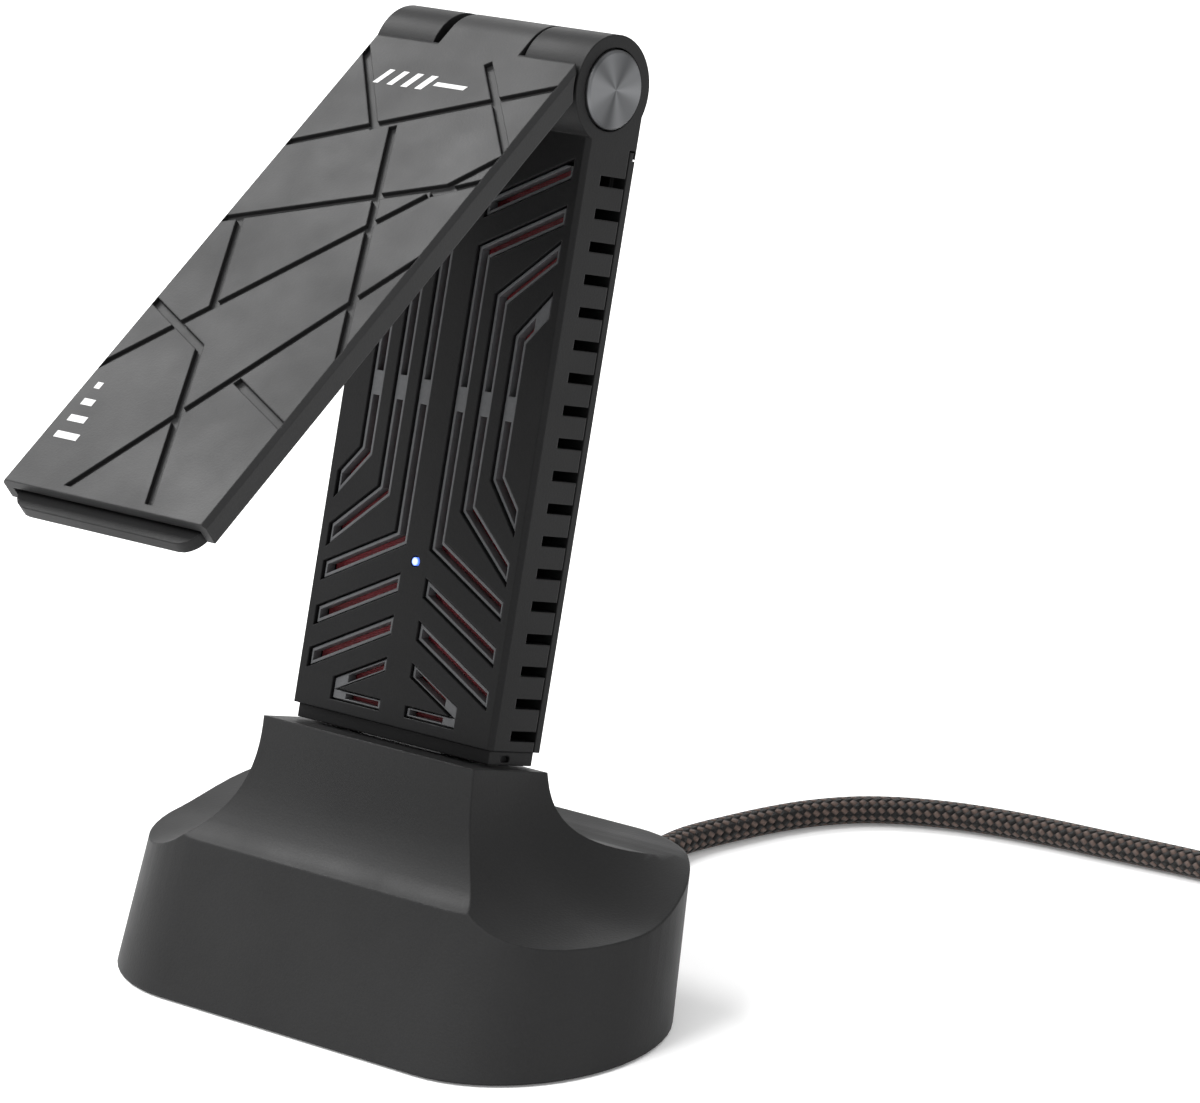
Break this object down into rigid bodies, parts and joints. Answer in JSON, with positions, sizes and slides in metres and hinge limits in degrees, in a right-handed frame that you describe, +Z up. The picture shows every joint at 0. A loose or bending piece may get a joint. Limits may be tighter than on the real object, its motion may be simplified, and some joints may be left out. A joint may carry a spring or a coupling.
{
  "type": "usb wifi adapter",
  "caption": "USB wifi adapter with a folding antenna flap on a hinge, plugged into a leaning desk cradle with a braided cable that ends in a USB plug.",
  "frame": {"origin": "centre of the cradle's foot, on the surface it stands on", "axes": "+Z up; the vent face and the flap look towards -Y and the adapter leans back towards +Y; X is the width"},
  "size_m": [0.1827, 0.1172, 0.1035],
  "materials": {
    "black_plastic": "fine textured",
    "grey_plastic": "satin",
    "red_mesh": "fine woven mesh",
    "white_plastic": "satin",
    "light_window": "clear",
    "black_rubber": "matte",
    "pad_rubber": "matte",
    "zinc_steel": "zinc plated",
    "ballast_steel": "raw",
    "plug_metal": "nickel plated",
    "spun_metal": "spun and anodised dark",
    "contact_gold": "gold plated",
    "circuit_board": "lacquered laminate",
    "braid": "braided",
    "light_print": "pad print",
    "tie_fabric": "hook and loop"
  },
  "bodies": {
    "cradle": {"cradle_shell": "black_plastic", "cradle_base_plate": "black_plastic", "cradle_foot_pad": "black_rubber", "cradle_screw_1": "zinc_steel", "cradle_screw_2": "zinc_steel", "cradle_screw_3": "zinc_steel", "cradle_screw_4": "zinc_steel", "cradle_ballast_left": "ballast_steel", "cradle_ballast_right": "ballast_steel", "socket_shell": "plug_metal", "socket_tongue": "white_plastic", "cradle_board": "circuit_board", "cable_relief": "black_rubber", "cable_lead": "braid", "cable_coil": "braid", "cable_tie": "tie_fabric", "cable_tail": "braid", "far_plug_body": "black_plastic", "far_plug_shell": "plug_metal", "far_plug_tongue": "white_plastic", "far_plug_contact_1": "contact_gold", "far_plug_contact_2": "contact_gold", "far_plug_contact_3": "contact_gold", "far_plug_contact_4": "contact_gold"},
    "adapter": {"body_shell": "black_plastic", "back_cover": "black_plastic", "vent_frame": "grey_plastic", "vent_liner": "red_mesh", "main_board": "circuit_board", "radio_shield": "plug_metal", "thermal_pad": "pad_rubber", "light_pipe": "light_window", "light_chip": "white_plastic", "plug_collar": "black_plastic", "plug_shell": "plug_metal", "plug_tongue": "white_plastic", "hinge_pin": "zinc_steel", "hinge_washer_left": "black_plastic", "hinge_washer_right": "black_plastic", "hinge_disc_left": "spun_metal", "hinge_disc_right": "spun_metal", "plug_contact_1": "contact_gold", "plug_contact_2": "contact_gold", "plug_contact_3": "contact_gold", "plug_contact_4": "contact_gold"},
    "flap": {"flap_cover": "black_plastic", "flap_tray": "black_plastic", "antenna_board_left": "circuit_board", "antenna_board_right": "circuit_board"}
  },
  "joints": [
    {"name": "adapter_lift", "type": "slide", "parent": "cradle", "child": "adapter", "axis": [0, 0.309, 0.9511], "range_m": [0, 0.022]},
    {"name": "flap_hinge", "type": "hinge", "parent": "adapter", "child": "flap", "pos_m": [0, 0.02722, 0.0976], "axis": [-1, 0, 0], "range_deg": [-41, 139]}
  ]
}
